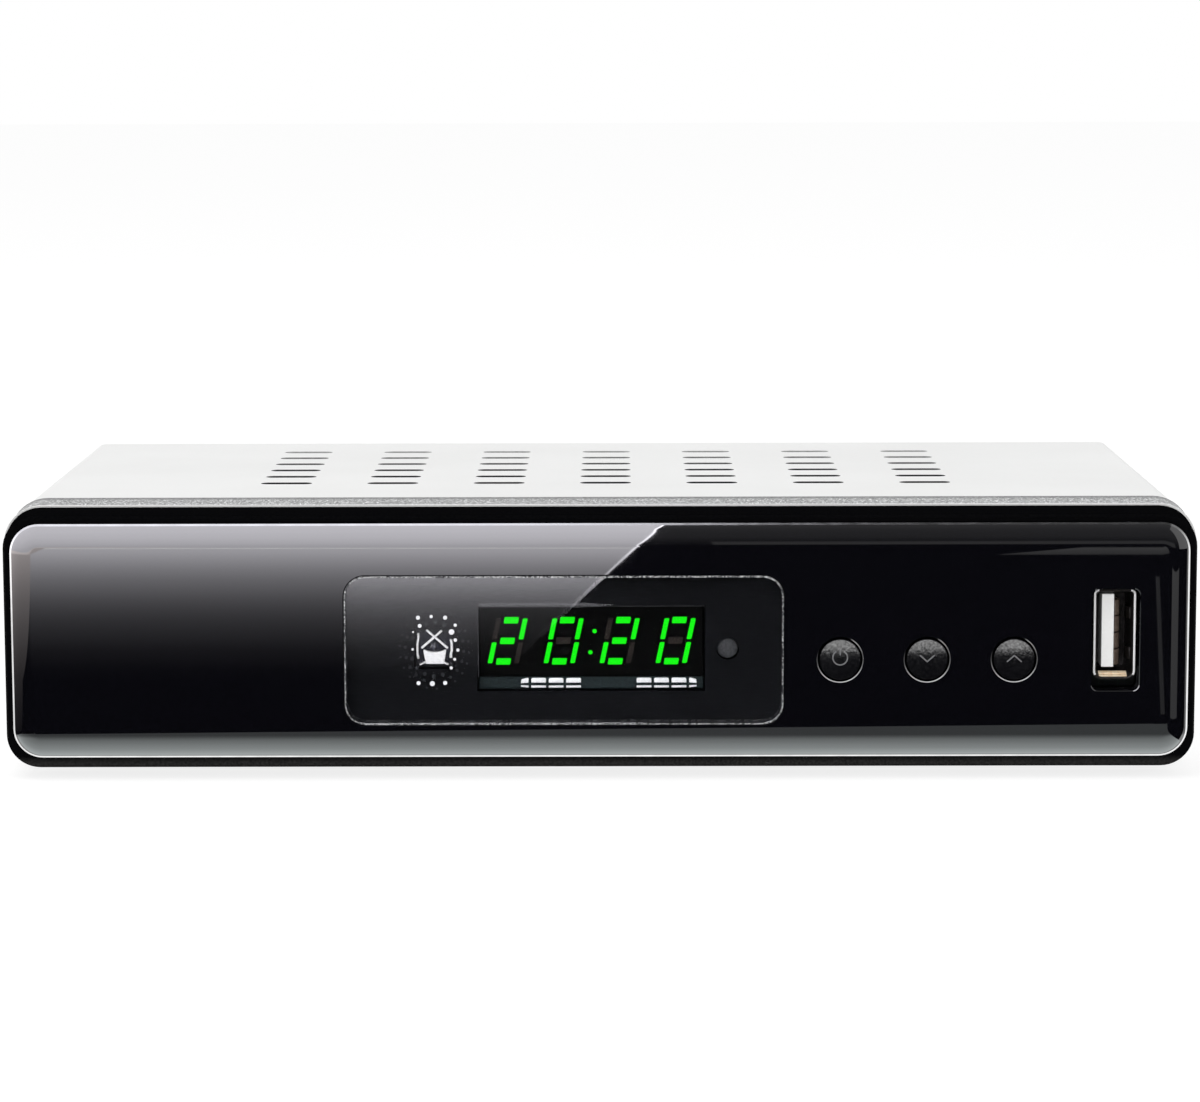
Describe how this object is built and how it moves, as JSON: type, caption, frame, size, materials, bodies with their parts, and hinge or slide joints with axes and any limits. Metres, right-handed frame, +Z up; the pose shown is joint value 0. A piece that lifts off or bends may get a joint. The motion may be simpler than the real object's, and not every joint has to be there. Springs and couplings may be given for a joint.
{
  "type": "cable television receiver",
  "caption": "Flat set-top receiver with a gloss black front, a clock display window, round push buttons and an upright data socket, in a vented sheet-metal housing on rubber feet.",
  "frame": {"origin": "under the middle of the part, on the surface that its feet stand on", "axes": "+X to the right seen from the front, +Y to the back, +Z up"},
  "size_m": [0.1822, 0.1116, 0.0413],
  "materials": {
    "cover_paint": "satin off-white paint",
    "pan_steel": "bright zinc-plated sheet",
    "foot_rubber": "matt",
    "screw_steel": "zinc plated",
    "frame_silver": "metallic flake paint",
    "bezel_black": "satin black",
    "fascia_black": "high gloss black",
    "window_clear": "clear, lightly tinted",
    "mask_black": "printed black",
    "button_black": "satin black",
    "plunger_brown": "matt",
    "switch_black": "matt",
    "board_green": "green lacquer",
    "clock_black": "matt black face",
    "clock_green": "lit green strokes",
    "clock_grey": "unlit strokes",
    "lead_tin": "tinned",
    "eye_dark": "dark filter resin",
    "eye_tin": "tinned sheet",
    "lamp_grey": "smoky resin",
    "socket_nickel": "bright nickel",
    "tongue_white": "white",
    "contact_gold": "gold plated",
    "standoff_brass": "turned",
    "tuner_tin": "tinned sheet",
    "chip_black": "moulded resin",
    "sink_alu": "extruded",
    "can_blue": "sleeved cans",
    "coil_grey": "ferrite",
    "av_black": "moulded black",
    "jack_orange": "moulded orange",
    "jack_black": "moulded black",
    "ribbon_grey": "grey sleeve",
    "header_ivory": "moulded ivory"
  },
  "bodies": {
    "receiver": {"top_cover": "cover_paint", "base_pan": "pan_steel", "rubber_feet": "foot_rubber", "cover_screws": "screw_steel", "front_frame": "frame_silver", "frame_screws": "screw_steel", "bezel": "bezel_black", "fascia": "fascia_black", "display_window": "window_clear", "window_mask": "mask_black", "key_switches": "switch_black", "front_board": "board_green", "front_board_screws": "screw_steel", "clock_module": "clock_black", "clock_lit": "clock_green", "clock_unlit": "clock_grey", "clock_leads": "lead_tin", "remote_eye": "eye_dark", "remote_eye_shield": "eye_tin", "standby_lamp": "lamp_grey", "data_socket_shell": "socket_nickel", "data_socket_tongue": "tongue_white", "data_socket_contacts": "contact_gold", "main_board": "board_green", "board_standoffs": "standoff_brass", "board_screws": "screw_steel", "tuner_can": "tuner_tin", "aerial_input": "socket_nickel", "aerial_input_contact": "contact_gold", "aerial_output": "socket_nickel", "aerial_output_pin": "contact_gold", "decoder_chip": "chip_black", "heat_sink": "sink_alu", "memory_chips": "chip_black", "capacitors": "can_blue", "coils": "coil_grey", "picture_socket_shell": "socket_nickel", "picture_socket_tongue": "chip_black", "av_socket": "av_black", "audio_jack_body": "jack_orange", "audio_jack_shell": "socket_nickel", "power_jack_body": "jack_black", "power_jack_pin": "socket_nickel", "ribbon_cable": "ribbon_grey", "ribbon_headers": "header_ivory"},
    "power_key": {"power_button": "button_black", "power_plunger": "plunger_brown"},
    "down_key": {"down_button": "button_black", "down_plunger": "plunger_brown"},
    "up_key": {"up_button": "button_black", "up_plunger": "plunger_brown"}
  },
  "joints": [
    {"name": "power_press", "type": "slide", "parent": "receiver", "child": "power_key", "axis": [0, 1, 0], "range_m": [0, 0.0005], "stiffness_N_per_m": 2000},
    {"name": "down_press", "type": "slide", "parent": "receiver", "child": "down_key", "axis": [0, 1, 0], "range_m": [0, 0.0005], "stiffness_N_per_m": 2000},
    {"name": "up_press", "type": "slide", "parent": "receiver", "child": "up_key", "axis": [0, 1, 0], "range_m": [0, 0.0005], "stiffness_N_per_m": 2000}
  ]
}
